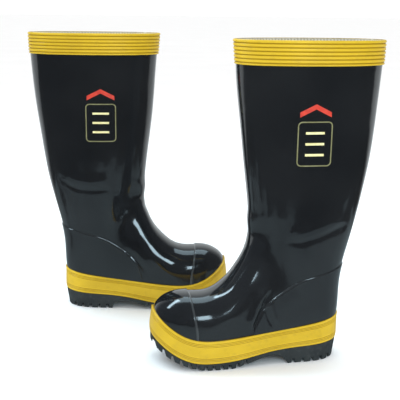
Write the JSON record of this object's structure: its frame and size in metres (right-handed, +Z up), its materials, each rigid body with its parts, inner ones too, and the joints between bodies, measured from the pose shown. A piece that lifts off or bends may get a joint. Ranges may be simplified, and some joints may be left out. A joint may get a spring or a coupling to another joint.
{
  "type": "fire boots",
  "caption": "Knee-high black rubber fire boots with a yellow ribbed top band, yellow strip round the foot, lugged heeled sole, steel toe cap and midsole, and cloth lining.",
  "frame": {"origin": "middle of the pair's bounding box, on the floor that the soles stand on", "axes": "+Z up; +X from the right boot towards the left boot, along the way the right boot's toe points; both boots' outer sides face -Y"},
  "size_m": [0.4904, 0.335, 0.42],
  "materials": {
    "black_rubber": "gloss",
    "yellow_rubber": "satin",
    "badge_print": "satin",
    "steel": "brushed",
    "fibre_board": "matte",
    "soft_rubber": "matte",
    "lining_cloth": "knitted",
    "footbed_felt": "felt",
    "collar_cloth": "woven",
    "sole_rubber": "matte"
  },
  "bodies": {
    "left_boot": {"left_upper_rubber": "black_rubber", "left_toe_overlay": "black_rubber", "left_heel_overlay": "black_rubber", "left_foxing_strip": "yellow_rubber", "left_top_band": "yellow_rubber", "left_badge": "badge_print", "left_midsole_plate": "steel", "left_insole_board": "fibre_board", "left_toe_cap": "steel", "left_toe_cap_bead": "soft_rubber", "left_heel_counter": "fibre_board", "left_lining": "lining_cloth", "left_footbed": "footbed_felt", "left_collar_tape": "collar_cloth", "left_shank": "steel", "left_heel_core": "soft_rubber", "left_outsole": "sole_rubber"},
    "right_boot": {"right_upper_rubber": "black_rubber", "right_toe_overlay": "black_rubber", "right_heel_overlay": "black_rubber", "right_foxing_strip": "yellow_rubber", "right_top_band": "yellow_rubber", "right_badge": "badge_print", "right_midsole_plate": "steel", "right_insole_board": "fibre_board", "right_toe_cap": "steel", "right_toe_cap_bead": "soft_rubber", "right_heel_counter": "fibre_board", "right_lining": "lining_cloth", "right_footbed": "footbed_felt", "right_collar_tape": "collar_cloth", "right_shank": "steel", "right_heel_core": "soft_rubber", "right_outsole": "sole_rubber"}
  },
  "joints": [
    {"name": "right_boot_lift", "type": "slide", "parent": "left_boot", "child": "right_boot", "axis": [0, 0, 1], "range_m": [0, 0.45]}
  ]
}
